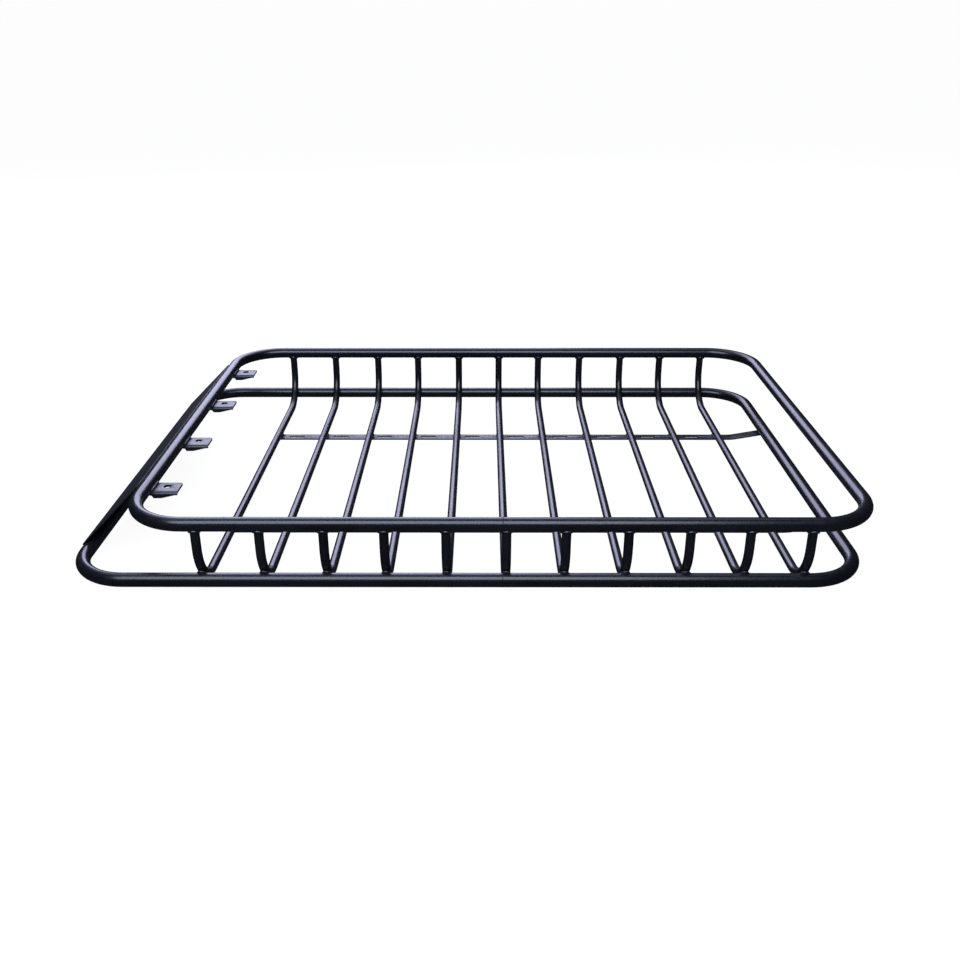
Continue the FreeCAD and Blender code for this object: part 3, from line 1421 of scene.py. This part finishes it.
    def build(self) -> None:
        """Makes the tabs and their welds."""
        centres = [(low.y + high.y) / 2.0 for low, high in boxes_of("light_tab_")]
        moves = [Vector((0.0, y - centres[0], 0.0)) for y in centres]
        first = self.pattern(centres[0])
        bead = self.root_bead(centres[0])
        for number, move in enumerate(moves, start=1):
            tab = copy_to(first, "light_tab_plate_%d" % number, move)
            hang_on_basket(tab, self.finishes.tabs, ["light_tab_%d" % number])
        bpy.data.objects.remove(first, do_unlink=True)
        welds = gather_welds(spread(bead, moves), "tab_welds")
        hang_on_basket(welds, self.finishes.welds)


@dataclass
class WindFairing(SubAssembly):
    """The flat sheet that leans from the lower to the upper front rail."""

    bottom_inset: float = 10.7 * MM
    top_inset: float = 26.7 * MM
    thickness: float = 2.0 * MM
    overhang: float = 2.0 * MM
    corner_radius: float = 5.0 * MM
    corner_steps: int = 6
    edge: float = 0.5 * MM
    edge_steps: int = 3
    stitch: float = 22.0 * MM
    stitch_count: int = 5
    stitch_inset: float = 40.0 * MM
    stitch_off: float = 0.38
    stitch_sink: float = 0.5
    bead: float = 1.5 * MM

    @property
    def lean(self) -> Vector:
        """From the lower to the upper front rail's axis."""
        lay = self.layout
        return Vector((lay.upper.front_x - lay.lower.front_x, 0.0, lay.upper.z - lay.lower.z))

    @property
    def slope(self) -> Vector:
        """Unit vector up the sheet."""
        return self.lean.normalized()

    @property
    def outward(self) -> Vector:
        """Unit vector out of the sheet's front."""
        return Vector((-self.slope.z, 0.0, self.slope.x))

    @property
    def foot(self) -> Vector:
        """Point where the sheet's inner face touches the lower rail."""
        lower = self.layout.lower
        gap = self.outward * (self.layout.rail_r + WELD_GAP)
        return Vector((lower.front_x, 0.0, lower.z)) + gap

    @property
    def rise(self) -> float:
        """Distance up the sheet between the two rails' contact lines."""
        lay = self.layout
        return math.hypot(lay.upper.front_x - lay.lower.front_x, lay.upper.z - lay.lower.z)

    @property
    def halves(self) -> Range:
        """Half of the sheet's width, at the lower and at the upper rail."""
        lay = self.layout
        return (
            lay.half_width - lay.lower.corner_radius - self.bottom_inset,
            lay.half_width - lay.upper.corner_radius - self.top_inset,
        )

    def sheet(self) -> Piece:
        """Cuts the sheet and gives it its thickness.

        Returns:
            The finished sheet.
        """
        low_half, high_half = self.halves
        height = self.rise + 2.0 * self.overhang
        middle = self.foot + self.slope * (self.rise / 2.0) + self.outward * self.thickness
        facing = (0.0, -math.atan2(self.slope.z, self.slope.x), 0.0)
        sheet = lay_plate("wind_fairing_sheet", middle, (height, 2.0 * low_half), facing)
        top = middle + self.slope * (height / 2.0)
        bottom = middle - self.slope * (height / 2.0)
        with on_bench(sheet):
            for side in BOTH_WAYS:
                high = top + Vector((0.0, side * high_half, 0.0))
                low = bottom + Vector((0.0, side * low_half, 0.0))
                away = (high - low).normalized().cross(self.outward)
                if away.y * side < 0.0:
                    away = -away
                choose_all()
                bpy.ops.mesh.bisect(
                    plane_co=low, plane_no=away, clear_outer=True, threshold=FINEST
                )
            choose_all()
            bpy.ops.mesh.remove_doubles(threshold=TINY)
            round_corners(sheet, self.corner_radius, self.corner_steps, self.outward)
        give_wall(sheet, self.thickness)
        break_edges(sheet, self.edge, self.edge_steps)
        smooth_over(sheet)
        return sheet

    def stitches(self) -> Piece:
        """Lays the short beads behind the sheet, along both rails.

        Returns:
            The joined beads.
        """
        reach = self.stitch_off * self.layout.rail_r
        sink = self.outward * self.stitch_sink * MM
        beads: List[Piece] = []
        bases = (self.foot, self.foot + self.slope * self.rise)
        for base, way, half in zip(bases, (1.0, -1.0), self.halves):
            first_y = -half + self.stitch_inset
            pitch = -2.0 * first_y / (self.stitch_count - 1)
            place = base + self.slope * (way * reach) - sink + Vector((0.0, first_y, 0.0))
            bead = WeldTorch().string("stitch", place, Y_AXIS * (self.stitch / 2.0), self.bead)
            moves = [Vector((0.0, pitch * k, 0.0)) for k in range(self.stitch_count)]
            beads += spread(bead, moves)
        return gather_welds(beads, "fairing_welds")

    def build(self) -> None:
        """Makes the sheet and its stitches."""
        hang_on_basket(self.sheet(), self.finishes.fairing, ["wind_fairing"])
        hang_on_basket(self.stitches(), self.finishes.welds)


# --- Studio ---


@dataclass(frozen=True)
class SoftBox:
    """One soft light panel."""

    name: str
    place: Triple
    aim: Triple
    size: Range
    radiance: float
    tint: Colour

    def hang(self) -> None:
        """Hangs the panel in the studio."""
        put_down_all()
        bpy.ops.object.light_add(type="AREA", location=self.place)
        lamp = bpy.context.active_object
        lamp.name = self.name
        lamp.data.shape = "RECTANGLE"
        lamp.data.size, lamp.data.size_y = self.size
        lamp.data.color = self.tint
        lamp.data.energy = self.radiance * math.pi * self.size[0] * self.size[1]
        gaze = Vector(self.aim) - Vector(self.place)
        lamp.rotation_euler = gaze.to_track_quat("-Z", "Y").to_euler()


@dataclass
class Studio:
    """Pale sweep, soft light and camera."""

    floor_z: float = 0.0
    sweep_half_width: float = 9.0
    sweep_front: float = -5.0
    sweep_back: float = 4.5
    cove_radius: float = 2.0
    cove_steps: int = 24
    wall_rise: float = 3.0
    paper_tones: Tuple[Colour, Colour] = ((0.10, 0.10, 0.10), (0.105, 0.105, 0.105))
    paper_glow: float = 0.95
    paper_roughness: float = 0.9
    paper_specular: float = 0.1
    room_tone: Colour = (0.82, 0.86, 1.0)
    room_strength: float = 0.02
    eye: Triple = (0.02186, -1.82558, 0.82242)
    eye_tilt: float = 24.303
    eye_swing: float = 0.00355
    eye_roll: float = -0.00095
    lens: float = 37.679
    sensor: float = 36.0
    nearest: float = 0.05
    farthest: float = 60.0

    def sweep(self) -> None:
        """Makes the floor that curves up into the back wall."""
        middle = (0.0, (self.sweep_front + self.sweep_back) / 2.0, self.floor_z)
        size = (2.0 * self.sweep_half_width, self.sweep_back - self.sweep_front)
        sweep = lay_plate("studio_sweep", middle, size)
        with on_bench(sweep, "EDGE"):
            choose_points(sweep, lambda co: co.y > self.sweep_back - TINY)
            centre = Vector((0.0, self.sweep_back, self.floor_z + self.cove_radius))
            swing_round(centre, X_AXIS, QUARTER_TURN, self.cove_steps)
            draw_out((0.0, 0.0, self.wall_rise))
        face_outwards(sweep)
        pick_up(sweep)
        bpy.ops.object.shade_smooth()
        recipe = Recipe("studio_paper")
        recipe.drive("Base Color", recipe.blend(recipe.noise(Pattern(3.0)), *self.paper_tones))
        recipe.fix(
            Emission_Color=(1.0, 1.0, 1.0, 1.0),
            Emission_Strength=self.paper_glow,
            Roughness=self.paper_roughness,
            Specular_IOR_Level=self.paper_specular,
        )
        sweep.data.materials.append(recipe.material)
        sweep.visible_glossy = False

    def lights(self) -> None:
        """Hangs the soft panels and sets the dim room."""
        for name, place, aim, size, radiance, green in (
            ("back_panel", (-0.8, 3.4, 2.2), (-0.1, 0.0, 0.1), (2.7, 3.0), 5.4, 0.71),
            ("ceiling_panel", (-0.4, 1.3, 3.0), (0.0, 0.0, 0.1), (4.0, 2.6), 1.1, 0.74),
            ("front_panel", (-0.35, -1.5, 1.75), (-0.3, -0.2, 0.1), (2.3, 1.4), 6.7, 0.79),
        ):
            SoftBox(name, place, aim, size, radiance, (0.70, green, 1.0)).hang()
        world = bpy.data.worlds.new("studio_room")
        bpy.context.scene.world = world
        world.use_nodes = True
        room = world.node_tree.nodes["Background"]
        room.inputs["Color"].default_value = (*self.room_tone, 1.0)
        room.inputs["Strength"].default_value = self.room_strength

    def camera(self) -> None:
        """Sets the camera."""
        data = bpy.data.cameras.new("view_camera")
        data.lens = self.lens
        data.sensor_width = self.sensor
        data.clip_start = self.nearest
        data.clip_end = self.farthest
        camera = bpy.data.objects.new("view_camera", data)
        bpy.context.scene.collection.objects.link(camera)
        turn = (
            Matrix.Rotation(self.eye_swing, 4, "Z")
            @ Matrix.Rotation(math.radians(90.0 - self.eye_tilt), 4, "X")
            @ Matrix.Rotation(self.eye_roll, 4, "Z")
        )
        camera.matrix_world = Matrix.Translation(self.eye) @ turn
        bpy.context.scene.camera = camera

    def build(self) -> None:
        """Builds the whole studio."""
        self.sweep()
        self.lights()
        self.camera()
        bpy.context.scene.view_settings.view_transform = "Standard"
        LOG.info("studio: sweep, soft panels and camera")


def main() -> None:
    """Builds the basket, then its studio."""
    logging.basicConfig(level=logging.INFO, format="%(name)s: %(message)s")
    layout = Layout.read(upper_corner=95.0 * MM, lower_corner=89.0 * MM, rung_bend=71.0 * MM)
    finishes = Finishes.mix()
    for kind in (RailLoops, CrossRungs, MountBars, LightTabs, WindFairing):
        kind(layout, finishes).build()
    Studio().build()
    put_down_all()


if __name__ == "__main__":
    main()
